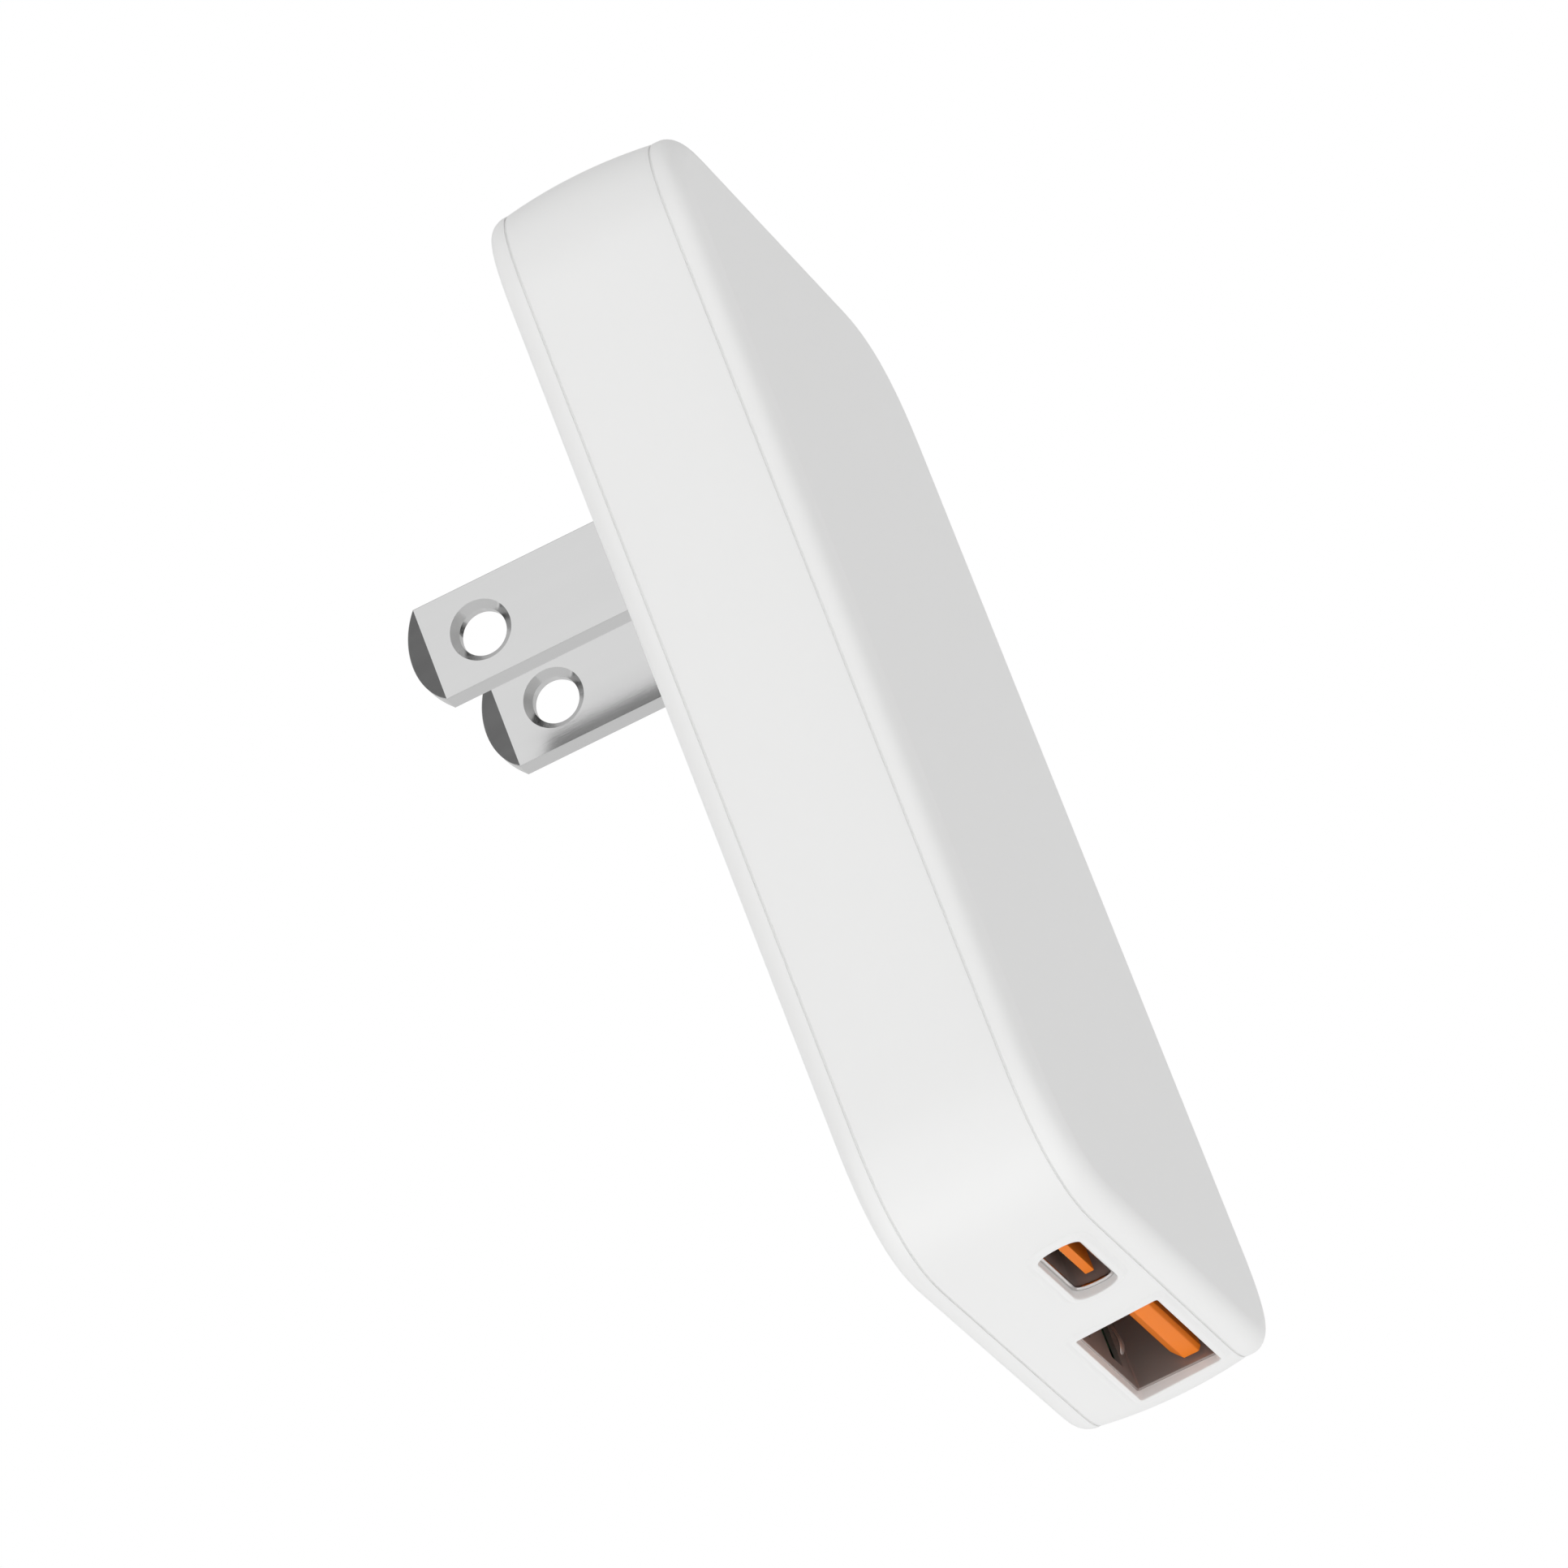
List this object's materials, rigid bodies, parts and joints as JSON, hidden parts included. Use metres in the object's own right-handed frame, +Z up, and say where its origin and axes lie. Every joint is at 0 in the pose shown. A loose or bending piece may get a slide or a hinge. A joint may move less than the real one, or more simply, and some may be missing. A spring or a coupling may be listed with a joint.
{
  "type": "usb wall charger",
  "caption": "Slim white wall charger with a folding two-blade plug on the back and USB-A and USB-C sockets in the bottom end.",
  "frame": {"origin": "on the flat back face that rests on the wall outlet, midway between the two blades and level with them", "axes": "+Y out of the back face towards the wall, the way the blades point; +Z up along the case, away from the USB sockets; X across the case, +X on the right seen from the front"},
  "size_m": [0.0428, 0.0289, 0.0743],
  "materials": {
    "case_plastic": "smooth satin white polycarbonate",
    "inner_plastic": "matte white, flame-retardant",
    "spring_bronze": "phosphor bronze strip",
    "blade_nickel": "satin nickel plate on brass",
    "port_steel": "bright drawn steel",
    "port_insulator": "orange liquid-crystal polymer",
    "contact_gold": "gold flash",
    "board_laminate": "green solder mask on glass-epoxy",
    "ferrite": "ground ferrite",
    "winding_tape": "polyester tape over copper",
    "chip_epoxy": "moulded epoxy",
    "can_aluminium": "drawn aluminium can",
    "copper_wire": "enamelled copper",
    "film_yellow": "yellow box film capacitor",
    "disc_blue": "blue epoxy-dipped ceramic",
    "fuse_brown": "brown moulded fuse",
    "sheet_insulator": "polyester insulating sheet",
    "pad_silicone": "soft silicone pad",
    "spreader_aluminium": "plain sheet"
  },
  "bodies": {
    "charger_case": {"rear_cover": "case_plastic", "mid_frame": "case_plastic", "front_cover": "case_plastic", "blade_well": "inner_plastic", "pivot_retainer": "inner_plastic", "detent_spring": "spring_bronze", "contact_spring_left": "spring_bronze", "contact_spring_right": "spring_bronze", "usb_a_shell": "port_steel", "usb_c_shell": "port_steel", "usb_a_tongue": "port_insulator", "usb_c_tongue": "port_insulator", "usb_a_contacts": "contact_gold", "usb_c_contacts": "contact_gold", "main_board": "board_laminate", "usb_c_board": "board_laminate", "transformer_core_rear": "ferrite", "transformer_core_front": "ferrite", "transformer_winding": "winding_tape", "bridge_rectifier": "chip_epoxy", "power_switch": "chip_epoxy", "primary_controller": "chip_epoxy", "optocoupler": "chip_epoxy", "sync_rectifier": "chip_epoxy", "protocol_chip": "chip_epoxy", "bulk_capacitor_left": "can_aluminium", "bulk_capacitor_right": "can_aluminium", "output_capacitor_1": "can_aluminium", "output_capacitor_2": "can_aluminium", "choke_core": "ferrite", "choke_winding_left": "copper_wire", "choke_winding_right": "copper_wire", "x_capacitor": "film_yellow", "y_capacitor": "disc_blue", "input_fuse": "fuse_brown", "insulating_barrier": "sheet_insulator", "thermal_pad": "pad_silicone", "heat_spreader": "spreader_aluminium"},
    "folding_plug": {"blade_carrier": "inner_plastic", "blade_left": "blade_nickel", "blade_right": "blade_nickel"}
  },
  "joints": [
    {"name": "blade_fold", "type": "hinge", "parent": "charger_case", "child": "folding_plug", "pos_m": [0, -0.0033, -0.0003], "axis": [1, 0, 0], "range_deg": [0, 90]}
  ]
}
